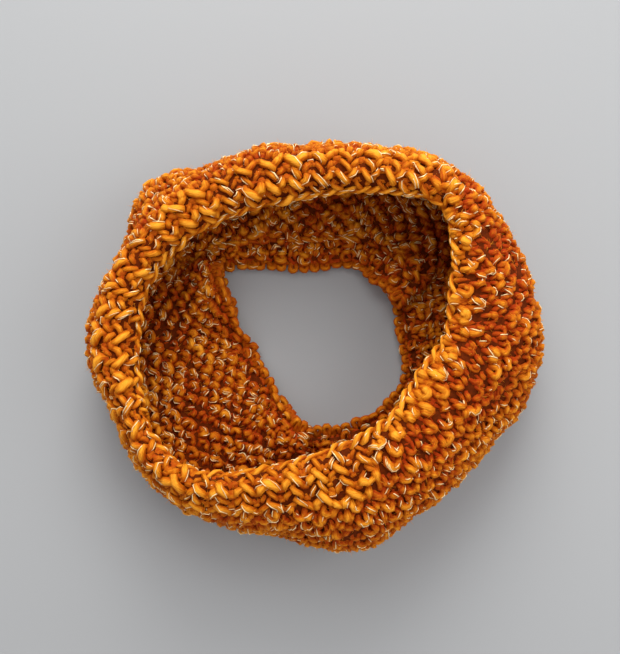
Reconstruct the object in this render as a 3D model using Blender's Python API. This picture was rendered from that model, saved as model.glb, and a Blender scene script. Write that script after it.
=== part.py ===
"""Infinity scarf: one seamless tube of bulky yarn, knitted in the round, lying as a ring.

The tube lies on its side wall with both edges turned in, like a tyre that is open to its
centre.  From the upper edge the cloth runs over a rounded crest, down the outer wall, turns
at the heel and lies flat as a floor, in to the lower edge round the central hole.  The floor
is longer than the hole needs, so its spare length is tucked into three corner pleats.

Pieces, all parts of one knitted tube:
  moss_body         the moss-stitch wall and floor, from the rib band to the lower edge
  rib_band          the first rows at the upper edge, 46 ribs standing up from them
  cast_on_edge      the rope of two strands that the upper edge starts from
  bound_off_edge_*  the looped lower edge, one node for each stretch between two pleats

Metres, +Z up, the underside on z = 0.
"""
import math
from collections import namedtuple

import bpy
import numpy as np

MM = 0.001

# ---- driving dimensions -----------------------------------------------------------------
RING_CENTRE = (-1.4 * MM, 3.8 * MM)   # the azimuths of the tables turn about this point
WALL = 8.0 * MM                       # thickness of the knitted cloth
GAP = 0.3 * MM                        # between pieces that touch
RIBS = 46                             # pairs of stitches round the tube
RIB_BAND = 0.15                       # share of the band's width that is ribbed
RIB_HEIGHT = 2.2 * MM                 # how far a rib stands up
HEEL = 20.0 * MM                      # reach of the turn from the outer wall to the floor
NOSE = 1.8 * MM                       # how far a free edge is rounded out
ROUND = 0.55                          # handle length that makes a cubic a quarter ellipse
RIB_START = 200.0                     # azimuth from which ribs and stitches are counted
ROPE_RADIUS = 3.0 * MM
ROPE_SCALLOP = 2.0 * MM
LOOP_RADIUS = 2.6 * MM
LOOP_SCALLOP = 2.2 * MM
LOOP_PITCH = 13.2 * MM                # one loop of the lower edge is two stitches wide

# One row a section round the ring, in millimetres from the ring's centre (r) or above the
# ground (z), all on the cloth's middle surface.
Cut = namedtuple("Cut", "azimuth outer_r belly_z crest_r crest_z rim_r rim_z hole_r")
CUTS = (
    Cut(0, 144, 34, 88, 80, 82, 79, 65),
    Cut(15, 140, 34, 93, 82, 87, 80, 65),
    Cut(28, 138, 35, 103, 83, 98, 81, 68),
    Cut(45, 139, 35, 118, 84, 111, 80, 65),
    Cut(60, 132, 35, 112, 84, 102, 77, 64),
    Cut(75, 124, 34, 105, 82, 93, 74, 58),
    Cut(90, 120, 34, 102, 80, 88, 70, 55),
    Cut(105, 124, 33, 103, 78, 87, 68, 57),
    Cut(120, 126, 32, 107, 76, 90, 66, 65),
    Cut(132, 132, 31, 112, 74, 95, 64, 75),
    Cut(143, 132, 30, 116, 73, 100, 63, 85),
    Cut(155, 132, 30, 118, 71, 106, 61, 68),
    Cut(170, 138, 29, 121, 69, 108, 60, 55),
    Cut(185, 141, 29, 121, 69, 109, 60, 46),
    Cut(200, 131, 30, 119, 71, 112, 64, 44),
    Cut(215, 132, 31, 120, 73, 114, 69, 43),
    Cut(230, 132, 32, 113, 76, 107, 73, 45),
    Cut(245, 127, 33, 98, 79, 90, 76, 52),
    Cut(258, 124, 34, 88, 80, 79, 77, 60),
    Cut(268, 127, 34, 82, 82, 74, 79, 64),
    Cut(285, 133, 35, 78, 83, 69, 81, 66),
    Cut(300, 125, 35, 76, 84, 69, 83, 67),
    Cut(315, 126, 35, 75, 83, 69, 82, 70),
    Cut(330, 129, 34, 74, 82, 68, 81, 71),
    Cut(345, 140, 34, 77, 81, 71, 80, 70),
)

# One row a soft fold of the wall: its middle, how far it stands out in millimetres, and its
# half widths.  A run goes from 0 at the upper edge to 1 at the lower edge.
Fold = namedtuple("Fold", "azimuth run out azimuth_width run_width")
FOLDS = (
    Fold(138, 0.42, 9.0, 11, 0.10),
    Fold(128, 0.24, -2.5, 9, 0.07),
    Fold(158, 0.26, -2.5, 8, 0.07),
    Fold(20, 0.33, 3.0, 14, 0.09),
    Fold(338, 0.30, -3.0, 10, 0.09),
    Fold(305, 0.36, 3.5, 12, 0.10),
    Fold(212, 0.38, 3.0, 12, 0.10),
    Fold(262, 0.34, -2.5, 11, 0.09),
    Fold(80, 0.40, 2.5, 12, 0.10),
)

# One row a corner pleat of the floor: the azimuth of its step at the heel and at the hole,
# its height there in millimetres, the side that lies on top (1 towards growing azimuth), and
# the distance over which it sinks back to the floor.
Pleat = namedtuple("Pleat", "at_heel at_hole height upper_side sink")
PLEATS = (
    Pleat(36, 25, 14.0, 1, 36),
    Pleat(158, 142, 15.0, 1, 34),
    Pleat(262, 267, 14.0, -1, 34),
)
STEP_WIDTH = 5.0 * MM                 # breadth of a pleat's steep side
PLEAT_LENGTH = 30.0 * MM              # from the hole out to where a pleat dies away


def around(name, azimuth):
    """Reads a column of CUTS at any azimuth, on a smooth curve closed round the ring."""
    knots = np.array([cut.azimuth for cut in CUTS], dtype=float)
    values = np.array([getattr(cut, name) for cut in CUTS], dtype=float)
    knots = np.concatenate([knots[-2:] - 360, knots, knots[:3] + 360])
    values = np.concatenate([values[-2:], values, values[:3]])
    slopes = np.zeros(len(knots))
    slopes[1:-1] = (values[2:] - values[:-2]) / (knots[2:] - knots[:-2])
    azimuth = azimuth % 360
    i = np.searchsorted(knots, azimuth, side="right") - 1
    span = knots[i + 1] - knots[i]
    t = (azimuth - knots[i]) / span
    start = (1 + 2 * t) * (1 - t) ** 2 * values[i] + t * (1 - t) ** 2 * slopes[i] * span
    end = t * t * (3 - 2 * t) * values[i + 1] - t * t * (1 - t) * slopes[i + 1] * span
    return (start + end) * MM


def cubic(p0, p1, p2, p3, count):
    """Returns count points of a cubic arc, without its first point."""
    t = np.linspace(0, 1, count + 1)[1:, None]
    return (1 - t) ** 3 * p0 + 3 * (1 - t) ** 2 * t * p1 + 3 * (1 - t) * t * t * p2 + t ** 3 * p3


class Section:
    """The cloth's middle line in one upright plane through the ring's centre."""

    def __init__(self, azimuth):
        self.azimuth = azimuth
        outer = around("outer_r", azimuth)
        belly = around("belly_z", azimuth)
        rim = np.array([around("rim_r", azimuth), around("rim_z", azimuth)])
        crest = np.array([around("crest_r", azimuth), around("crest_z", azimuth)])
        widest = np.array([outer, belly])
        heel = np.array([outer - HEEL, WALL / 2])
        hole = np.array([around("hole_r", azimuth), WALL / 2])
        rise = crest - rim
        path = [rim[None, :]]
        path.append(cubic(rim, rim + rise * (0.3, 0.8), crest - rise * (0.45, 0), crest, 8))
        out = np.array([(outer - crest[0]) * ROUND, 0])
        down = np.array([0, (crest[1] - belly) * ROUND])
        path.append(cubic(crest, crest + out, widest + down, widest, 14))
        down = np.array([0, (belly - heel[1]) * ROUND])
        back = np.array([HEEL * ROUND, 0])
        path.append(cubic(widest, widest - down, heel + back, heel, 10))
        path.append(cubic(heel, heel * 2 / 3 + hole / 3, heel / 3 + hole * 2 / 3, hole, 6))
        self.path = np.vstack(path)
        steps = np.hypot(*np.diff(self.path, axis=0).T)
        run = np.concatenate([[0], np.cumsum(steps)])
        self.length = run[-1]
        self.run = run / run[-1]
        self.heel_run = self.run[-7]

    def at(self, run):
        """Returns radius and height, and the unit direction towards the lower edge, at a run."""
        here = self.middle(run)
        ahead = self.middle(min(run + 0.012, 1)) - self.middle(max(run - 0.012, 0))
        return here, ahead / np.hypot(*ahead)

    def middle(self, run):
        """Returns radius and height at a run, the folds of the wall included."""
        point = np.array([np.interp(run, self.run, self.path[:, 0]),
                          np.interp(run, self.run, self.path[:, 1])])
        i = min(max(np.searchsorted(self.run, run), 1), len(self.run) - 1)
        ahead = self.path[i] - self.path[i - 1]
        normal = np.array([-ahead[1], ahead[0]]) / np.hypot(*ahead)
        return point + normal * self.fold(run)

    def fold(self, run):
        """How far the soft folds push the wall out at a run; nothing at the floor."""
        total = 0.0
        for fold in FOLDS:
            turn = (self.azimuth - fold.azimuth + 180) % 360 - 180
            away = (turn / fold.azimuth_width) ** 2 + ((run - fold.run) / fold.run_width) ** 2
            total += fold.out * MM * math.exp(-away)
        fade = min(max((self.heel_run - run) / 0.10, 0), 1)
        return total * fade

    def place(self, run, off=0.0, ahead_by=0.0, lift=0.0):
        """Returns a point in space, off the middle surface (+ outside) and ahead of the run."""
        here, ahead = self.at(run)
        normal = np.array([-ahead[1], ahead[0]])
        radius, height = here + normal * off + ahead * ahead_by
        turn = math.radians(self.azimuth)
        x = RING_CENTRE[0] + radius * math.cos(turn)
        y = RING_CENTRE[1] + radius * math.sin(turn)
        return (x, y, max(height + lift, 0.0))


def smooth(t):
    """Goes from 0 to 1 with a level start and end."""
    t = min(max(t, 0.0), 1.0)
    return t * t * (3 - 2 * t)


def pleat_lift(azimuth, floor_share):
    """How far the corner pleats lift the floor's upper side; floor_share is 0 at the heel."""
    total = 0.0
    radius = around("hole_r", azimuth) + (1 - floor_share) * PLEAT_LENGTH
    for pleat in PLEATS:
        step = pleat.at_heel + (pleat.at_hole - pleat.at_heel) * floor_share
        turn = (azimuth - step + 180) % 360 - 180
        along = pleat.upper_side * math.radians(turn) * radius
        up = smooth(along / STEP_WIDTH + 0.5)
        down = 1 - smooth((along - STEP_WIDTH) / (pleat.sink * MM))
        total += pleat.height * MM * up * down * smooth(floor_share * 1.3)
    return total


def even_azimuths(run, count):
    """Azimuths that part the closed line at a run into equal lengths, from RIB_START."""
    turns = np.linspace(0, 360, 721)
    points = np.array([Section(RIB_START + turn).place(run) for turn in turns])
    steps = np.linalg.norm(np.diff(points, axis=0), axis=1)
    lengths = np.concatenate([[0], np.cumsum(steps)])
    wanted = np.arange(count) / count * lengths[-1]
    return RIB_START + np.interp(wanted, lengths, turns)


def yarn_material(name, colour, roughness):
    """A plain matt yarn colour."""
    material = bpy.data.materials.new(name)
    material.use_nodes = True
    shader = material.node_tree.nodes["Principled BSDF"]
    shader.inputs["Base Color"].default_value = (*colour, 1)
    shader.inputs["Roughness"].default_value = roughness
    shader.inputs["Metallic"].default_value = 0.0
    return material


def loft_ring(name, rings, material, collection):
    """Skins closed cross-sections that go once round the ring into one closed body."""
    count = len(rings)
    size = len(rings[0])
    vertices = [point for ring in rings for point in ring]
    faces = []
    for i in range(count):
        j = (i + 1) % count
        for k in range(size):
            m = (k + 1) % size
            faces.append((i * size + k, i * size + m, j * size + m, j * size + k))
    mesh = bpy.data.meshes.new(name)
    mesh.from_pydata(vertices, [], faces)
    mesh.materials.append(material)
    mesh.shade_smooth()
    mesh.set_sharp_from_angle(angle=math.radians(50))
    piece = bpy.data.objects.new(name, mesh)
    collection.objects.link(piece)
    return piece


def strand(name, points, radii, closed, material, collection):
    """A round strand along points, thick as the radii say."""
    curve = bpy.data.curves.new(name, "CURVE")
    curve.dimensions = "3D"
    curve.bevel_depth = 1.0
    curve.bevel_resolution = 1
    curve.use_fill_caps = not closed
    spline = curve.splines.new("POLY")
    spline.points.add(len(points) - 1)
    for slot, point, radius in zip(spline.points, points, radii):
        slot.co = (*point, 1)
        slot.radius = radius
    spline.use_cyclic_u = closed
    curve.materials.append(material)
    piece = bpy.data.objects.new(name, curve)
    collection.objects.link(piece)
    return piece


def moss_body(collection):
    """The wall and the floor, whose floor is thicker where a pleat lies on it."""
    columns = RIBS * 3
    rings = []
    for azimuth in even_azimuths(0.4, columns):
        section = Section(azimuth)
        heel = section.heel_run
        wall_out = np.linspace(RIB_BAND, heel, 10)
        wall_in = np.linspace(heel, RIB_BAND, 8)
        shares = (0.2, 0.4, 0.6, 0.8, 1.0)
        ring = [section.place(run, WALL / 2) for run in wall_out]
        ring.append(section.place((heel + 1) / 2, WALL / 2))
        ring.append(section.place(1, WALL / 2))
        edge_lift = pleat_lift(azimuth, 1)
        ring.append(section.place(1, 0, NOSE, edge_lift / 2))
        for share in reversed(shares):
            lift = pleat_lift(azimuth, share)
            ring.append(section.place(heel + (1 - heel) * share, -WALL / 2, 0, lift))
        ring += [section.place(run, -WALL / 2) for run in wall_in]
        rings.append(ring)
    yarn = yarn_material("marmalade_yarn_moss", (0.72, 0.19, 0.012), 0.85)
    return loft_ring("moss_body", rings, yarn, collection)


def rib_band(collection):
    """The band at the upper edge, with its ribs raised on the outside."""
    columns = RIBS * 4
    gap = GAP / Section(0).length
    outside = np.linspace(0, RIB_BAND - gap, 5)
    inside = np.linspace(RIB_BAND - gap, 0, 3)
    lines = {run: even_azimuths(run, columns) for run in set(outside) | set(inside)}
    rings = []
    for i in range(columns):
        relief = RIB_HEIGHT * (0.5 + 0.5 * math.cos(2 * math.pi * i / 4))
        ring = []
        for k, run in enumerate(outside):
            rib = relief if k < len(outside) - 1 else 0.0
            ring.append(Section(lines[run][i]).place(run, WALL / 2 + rib))
        ring += [Section(lines[run][i]).place(run, -WALL / 2) for run in inside]
        ring.append(Section(lines[0][i]).place(0, 0, -NOSE))
        rings.append(ring)
    yarn = yarn_material("marmalade_yarn_rib", (0.80, 0.24, 0.018), 0.85)
    return loft_ring("rib_band", rings, yarn, collection)


def cast_on_edge(collection):
    """The rope along the upper edge: one scallop a rib."""
    columns = RIBS * 4
    points = []
    radii = []
    for i, azimuth in enumerate(even_azimuths(0, columns)):
        swell = abs(math.sin(math.pi * i / 4))
        reach = NOSE + GAP + ROPE_RADIUS + ROPE_SCALLOP * swell
        points.append(Section(azimuth).place(0, 0, -reach))
        radii.append(ROPE_RADIUS * (0.8 + 0.2 * swell))
    yarn = yarn_material("marmalade_yarn_cast_on", (0.84, 0.27, 0.025), 0.82)
    return strand("cast_on_edge", points, radii, True, yarn, collection)


def bound_off_edge(name, start, end, collection):
    """The looped lower edge from one pleat's step to the next, by azimuth."""
    yarn = yarn_material(f"marmalade_yarn_{name}", (0.62, 0.15, 0.010), 0.87)
    turns = np.linspace(start, end, 200)
    line = np.array([Section(turn).place(1) for turn in turns])
    steps = np.linalg.norm(np.diff(line, axis=0), axis=1)
    lengths = np.concatenate([[0], np.cumsum(steps)])
    loops = round(lengths[-1] / LOOP_PITCH)
    points = []
    radii = []
    for i in range(loops * 4 + 1):
        azimuth = float(np.interp(i / (loops * 4) * lengths[-1], lengths, turns))
        swell = abs(math.sin(math.pi * i / 4))
        reach = NOSE + GAP + LOOP_RADIUS + LOOP_SCALLOP * swell
        lift = pleat_lift(azimuth, 1)
        points.append(Section(azimuth).place(1, 0, reach, lift))
        radii.append(LOOP_RADIUS * (0.8 + 0.2 * swell))
    return strand(name, points, radii, False, yarn, collection)


def main():
    for item in list(bpy.data.objects):
        bpy.data.objects.remove(item)
    collection = bpy.data.collections.new("infinity_scarf")
    bpy.context.scene.collection.children.link(collection)
    moss_body(collection)
    rib_band(collection)
    cast_on_edge(collection)
    bound_off_edge("bound_off_edge_top", 26.5, 138.5, collection)
    bound_off_edge("bound_off_edge_left", 144.5, 264.5, collection)
    bound_off_edge("bound_off_edge_right", 269.5, 381.5, collection)


main()
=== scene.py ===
"""Looks of the infinity scarf: every stitch of its knitted cloth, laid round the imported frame.

As in the part's source, tables of sections, soft folds and pleats give the cloth's middle
surface.  The yarn of each row is led over it stitch by stitch, and a gold thread with it.
"""
from collections import namedtuple
from functools import lru_cache
from math import cos, pi, radians, sin

import bpy
import numpy as np
from bpy.props import FloatProperty, FloatVectorProperty, IntProperty, PointerProperty
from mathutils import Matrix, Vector


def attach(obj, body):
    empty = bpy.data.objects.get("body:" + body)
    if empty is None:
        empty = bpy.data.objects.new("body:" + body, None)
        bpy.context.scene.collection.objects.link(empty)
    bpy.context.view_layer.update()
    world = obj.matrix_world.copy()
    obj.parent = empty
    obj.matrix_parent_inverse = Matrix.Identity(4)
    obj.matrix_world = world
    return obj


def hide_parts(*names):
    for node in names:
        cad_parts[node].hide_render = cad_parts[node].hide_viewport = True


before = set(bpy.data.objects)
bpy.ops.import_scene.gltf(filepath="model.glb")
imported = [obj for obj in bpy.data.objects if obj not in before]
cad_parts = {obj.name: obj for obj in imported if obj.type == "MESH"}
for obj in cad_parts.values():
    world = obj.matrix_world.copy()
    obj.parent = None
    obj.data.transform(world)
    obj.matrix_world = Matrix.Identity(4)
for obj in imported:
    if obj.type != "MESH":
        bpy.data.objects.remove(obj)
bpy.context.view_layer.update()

bl_info = {
    "name": "Infinity scarf",
    "version": (1, 0, 0),
    "blender": (4, 5, 0),
    "location": "3D View > Sidebar > Scarf",
    "description": "Knits a bulky infinity scarf stitch by stitch round its frame",
    "category": "Object",
}

MM = 0.001

# ---- the cloth's middle surface ----
RING_CENTRE = (-1.4 * MM, 3.8 * MM)  # the tables' azimuths turn about it
CLOTH_MIDDLE = 4.0 * MM  # height of the floor's middle surface
HEEL = 20.0 * MM  # reach of the turn from the outer wall to the floor
ROUND = 0.55  # handle length that makes a cubic a quarter ellipse
START = 200.0  # azimuth from which stitches are counted
TURN_STEPS = 1440  # sections round the ring
COLUMN_STEPS = 8  # grid columns in a stitch
ROW_STEPS = 6  # grid rows in a row of stitches
RIB_BAND = 0.17  # share of the band's width that is ribbed
SET_BACK = 0.8 * MM  # the yarn's middle lies this far inside the solid's
LINE_STEPS = (16, 32, 28, 20)  # steps of a section's rim, wall, heel and floor
RIM_HANDLE = (0.3, 0.8)  # handles of the turned-in edge, as shares of its rise
CREST_HANDLE = (0.45, 0.0)
FOLD_FADE = 0.10  # run over which the folds fade out above the heel
GROUND_GAP = 0.1 * MM  # what stays free between the yarn and the ground

# One row a section, in millimetres from the ring's centre (r) or above the ground (z).
Cut = namedtuple("Cut", "azimuth outer_r belly_z crest_r crest_z rim_r rim_z hole_r")
CUTS = tuple(Cut(*row) for row in (
    (0, 144, 34, 88, 80, 82, 79, 65),
    (15, 140, 34, 93, 82, 87, 80, 65),
    (28, 138, 35, 103, 83, 98, 81, 68),
    (45, 139, 35, 118, 84, 111, 80, 65),
    (60, 132, 35, 112, 84, 102, 77, 64),
    (75, 124, 34, 105, 82, 93, 74, 58),
    (90, 120, 34, 102, 80, 88, 70, 55),
    (105, 124, 33, 103, 78, 87, 68, 57),
    (120, 126, 32, 107, 76, 90, 66, 65),
    (132, 132, 31, 112, 74, 95, 64, 75),
    (143, 132, 30, 116, 73, 100, 63, 85),
    (155, 132, 30, 118, 71, 106, 61, 68),
    (170, 138, 29, 121, 69, 108, 60, 55),
    (185, 141, 29, 121, 69, 109, 60, 46),
    (200, 131, 30, 119, 71, 112, 64, 44),
    (215, 132, 31, 120, 73, 114, 69, 43),
    (230, 132, 32, 113, 76, 107, 73, 45),
    (245, 127, 33, 98, 79, 90, 76, 52),
    (258, 124, 34, 88, 80, 79, 77, 60),
    (268, 127, 34, 82, 82, 74, 79, 64),
    (285, 133, 35, 78, 83, 69, 81, 66),
    (300, 125, 35, 76, 84, 69, 83, 67),
    (315, 126, 35, 75, 83, 69, 82, 70),
    (330, 129, 34, 74, 82, 68, 81, 71),
    (345, 140, 34, 77, 81, 71, 80, 70),
))

# One row a soft fold of the wall: its middle, how far it stands out in millimetres, and its
# half widths.  A run goes from 0 at the upper edge to 1 at the lower edge.
Fold = namedtuple("Fold", "azimuth run out azimuth_width run_width")
FOLDS = (
    Fold(138, 0.42, 9.0, 11, 0.10),
    Fold(128, 0.24, -2.5, 9, 0.07),
    Fold(158, 0.26, -2.5, 8, 0.07),
    Fold(20, 0.33, 3.0, 14, 0.09),
    Fold(338, 0.30, -3.0, 10, 0.09),
    Fold(305, 0.36, 3.5, 12, 0.10),
    Fold(212, 0.38, 3.0, 12, 0.10),
    Fold(262, 0.34, -2.5, 11, 0.09),
    Fold(80, 0.40, 2.5, 12, 0.10),
)

# One row a corner pleat of the floor: the azimuth of its step at the heel and at the hole,
# its height there in millimetres, the side that lies on top (1 towards growing azimuth), the
# distance over which it sinks back to the floor, and the cloth that it takes up.
Pleat = namedtuple("Pleat", "at_heel at_hole height upper_side sink taken_up")
PLEATS = (
    Pleat(36, 25, 14.0, 1, 36, 40),
    Pleat(158, 142, 15.0, 1, 34, 40),
    Pleat(262, 267, 14.0, -1, 34, 40),
)
PLEAT_HALF = 30.0  # mm along the edge that half of a pleat's S takes up
PLEAT_START = 0.35  # share of the floor's width where it begins to take up cloth
PLEAT_SHIFT = 0.65  # share of the taken-up cloth by which the S moves over
PLEAT_STEP = 0.45  # half width of the step in height, in halves of the S
PLEAT_TOP = 5.0  # mm of a pleat's upper side that don't sink yet

# ---- the stitches ----
STITCH_STEPS = 16  # points of yarn in a stitch
YARN_SIDES = 6
THREAD_SIDES = 3
THREAD_STEPS = 2  # steps of a glint to each side of its middle
LOOP_STEPS = 12  # points of yarn in a loop of the bound-off edge
ROPE_STEPS = 20  # points of yarn in a turn of the cast-on edge
ROPE_PITCH = 2.7  # stitches in a turn of the cast-on edge
RIB_REACH, MOSS_REACH = 0.70, 0.74  # half a stitch's height, in rows
RIB_SPREAD = 0.75  # how far knit ribs spread over the purl ones between
OUTER_ROWS = 19  # rows from the upper edge to the heel
QUIET_SIDE = (-10.0, 62.0)  # azimuth and half width of the stretch with little rib
QUIET_EDGE = 18  # degrees over which the rib comes back
QUIET_ROWS = 3.5  # rows that the rib gives up to the moss there
PULL_ACROSS, PULL_ALONG = 0.10, 0.14  # stitches and rows that stitches are pulled about
PULL_OUT = 0.55 * MM  # how far they are pulled out of the cloth
PULLS = ((1.0, 1.7), (0.75, 0.9), (0.35, 0.45))  # strength and cell of each such field
# Painted shade along the moss, as shifts of the yarn's tone: the row after the rib where each
# begins, the rows that it takes, the shift, and what the quiet side adds to it.
PAINTED_SHADE_SHIFTS = ((0, 1.5, -1.2, -0.55), (5, 5, 0.6, 0.55), (14, 4, -0.9, 0))
STITCH_SEED, THREAD_SEED, FIBRE_SEED = 20, 31, 47
FIBRES = 20000
FIBRE_WIDTH = 0.28 * MM  # a few wool fibres that cling together
FIBRE_LIFT = 4.5 * MM  # loose fibres take the painted light of yarn that stands out this far
GAP_SHADE_STEPS = (4, 6)  # grid columns and rows in a step of the dark sheet of painted shade between strands
GAP_SHADE_HALF = 0.8 * MM  # half of its thickness

# ---- the stage, in metres, watts and degrees ----
LAMPS = (  # name, place, size and power
    ("window", (0.1, 1.7, 0.9), 1.2, 21.0),
    ("skylight", (-0.1, 0.8, 0.85), 0.9, 8.0),
    ("side_window", (0.8, 0.0, 0.85), 0.9, 3.8),
)
SKY_COLOUR, SKY_STRENGTH = "#FBFBFF", 0.7
BOARD_SIZE = 6.0
LENS, SENSOR = 49.54, 36.0  # millimetres
CAMERA_TILT = 86.5  # how far the camera looks down
CAMERA_DISTANCE = 0.612
CAMERA_AIM = Vector((-2.8, 14.0, 0.0)) * MM


def smooth(t):
    """From 0 to 1, with a level start and end."""
    t = np.clip(t, 0.0, 1.0)
    return t * t * (3 - 2 * t)


def unit(vectors):
    """Vectors at unit length."""
    return vectors / np.maximum(np.linalg.norm(vectors, axis=-1, keepdims=True), 1e-12)


def from_azimuth(middle, azimuth):
    """Degrees from a middle azimuth to others, the short way round."""
    return (azimuth - middle + 180) % 360 - 180


def lengths_along(points):
    """The length of each line up to each of its points."""
    steps = np.linalg.norm(np.diff(points, axis=-2), axis=-1)
    return np.concatenate([0 * steps[..., :1], np.cumsum(steps, -1)], -1)


def between(grid, i, k, f, g):
    """Reads a grid, closed round its columns, between columns i, i + 1 and rows k, k + 1."""
    near, far = (grid[c, k] * (1 - g) + grid[c, k + 1] * g for c in (i, (i + 1) % len(grid)))
    return near * (1 - f) + far * f


def leaning(angle, side, up):
    """The way at an angle from side towards up."""
    return np.cos(angle)[..., None] * side + np.sin(angle)[..., None] * up


def angle_of(way, side, up):
    """The angle of a way from side towards up."""
    return np.arctan2((way * up).sum(-1), (way * side).sum(-1))


def around(name, azimuth):
    """A column of CUTS at any azimuths, on a smooth curve closed round the ring."""
    knots = np.array([cut.azimuth for cut in CUTS], dtype=float)
    values = np.array([getattr(cut, name) for cut in CUTS], dtype=float)
    knots = np.concatenate([knots[-2:] - 360, knots, knots[:3] + 360])
    values = np.concatenate([values[-2:], values, values[:3]])
    slopes = np.zeros(len(knots))
    slopes[1:-1] = (values[2:] - values[:-2]) / (knots[2:] - knots[:-2])
    azimuth = azimuth % 360
    i = np.searchsorted(knots, azimuth, side="right") - 1
    span = knots[i + 1] - knots[i]
    t = (azimuth - knots[i]) / span
    start = (1 + 2 * t) * (1 - t) ** 2 * values[i] + t * (1 - t) ** 2 * slopes[i] * span
    end = t * t * (3 - 2 * t) * values[i + 1] - t * t * (1 - t) * slopes[i + 1] * span
    return (start + end) * MM


def cubic(p0, p1, p2, p3, count):
    """Points of cubic arcs, one arc a section, without their first points."""
    t = np.linspace(0, 1, count + 1)[1:, None]
    p0, p1, p2, p3 = (p[:, None, :] for p in (p0, p1, p2, p3))
    s = 1 - t
    return s ** 3 * p0 + 3 * s ** 2 * t * p1 + 3 * s * t * t * p2 + t ** 3 * p3


def section_lines(azimuths):
    """The cloth's middle line in each upright plane, as radius and height, and its runs."""
    def place(radius, height):
        return np.stack(np.broadcast_arrays(radius, height), 1)

    outer, belly, crest_r, crest_z, rim_r, rim_z, hole_r = (
        around(name, azimuths) for name in Cut._fields[1:])
    rim, crest, widest = place(rim_r, rim_z), place(crest_r, crest_z), place(outer, belly)
    heel, hole = place(outer - HEEL, CLOTH_MIDDLE), place(hole_r, CLOTH_MIDDLE)
    rise = crest - rim
    out = place((outer - crest_r) * ROUND, 0)
    down = place(0, (crest_z - belly) * ROUND)
    under = place(0, (belly - CLOTH_MIDDLE) * ROUND)
    back = np.array([HEEL * ROUND, 0])
    rim_steps, wall_steps, heel_steps, floor_steps = LINE_STEPS
    line = np.concatenate([
        rim[:, None, :],
        cubic(rim, rim + rise * RIM_HANDLE, crest - rise * CREST_HANDLE, crest, rim_steps),
        cubic(crest, crest + out, widest + down, widest, wall_steps),
        cubic(widest, widest - under, heel + back, heel, heel_steps),
        cubic(heel, heel * 2 / 3 + hole / 3, heel / 3 + hole * 2 / 3, hole, floor_steps),
    ], 1)
    runs = lengths_along(line)
    runs /= runs[:, -1:]
    return line, runs, runs[:, -1 - floor_steps]


def fold_out(azimuth, run, heel_run):
    """How far the soft folds push the wall out: not at all at the floor."""
    total = 0.0
    for fold in FOLDS:
        turn = from_azimuth(fold.azimuth, azimuth) / fold.azimuth_width
        away = turn ** 2 + ((run - fold.run) / fold.run_width) ** 2
        total = total + fold.out * MM * np.exp(-away)
    return total * np.clip((heel_run - run) / FOLD_FADE, 0, 1)


def tuck_pleats(azimuth, radius, height, floor_share):
    """Lays the floor's spare cloth into S-shaped pleats."""
    for pleat in PLEATS:
        step = pleat.at_heel + (pleat.at_hole - pleat.at_heel) * floor_share
        along = pleat.upper_side * np.radians(from_azimuth(step, azimuth)) * radius / MM
        taken = pleat.taken_up * smooth((floor_share - PLEAT_START) / (1 - PLEAT_START))
        over = np.maximum(PLEAT_SHIFT * taken - PLEAT_HALF / 3, 0)
        t = np.clip((along - over) / PLEAT_HALF, -1, 1)
        moved = along - taken * np.sin(pi * t) * (1 + np.cos(pi * t)) / 2
        azimuth = azimuth + pleat.upper_side * np.degrees((moved - along) * MM / radius)
        ramp = smooth((t + PLEAT_STEP) / (2 * PLEAT_STEP))
        sunk = 1 - smooth((moved - PLEAT_TOP) / pleat.sink)
        height = height + pleat.height * MM * smooth(floor_share * 1.3) * ramp * sunk
    # The tucked cloth keeps to the floor's outline where it now lies.
    heel, hole = around("outer_r", azimuth) - HEEL, around("hole_r", azimuth)
    radius = np.where(floor_share > 0, heel + (hole - heel) * floor_share, radius)
    return azimuth, radius, height


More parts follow.
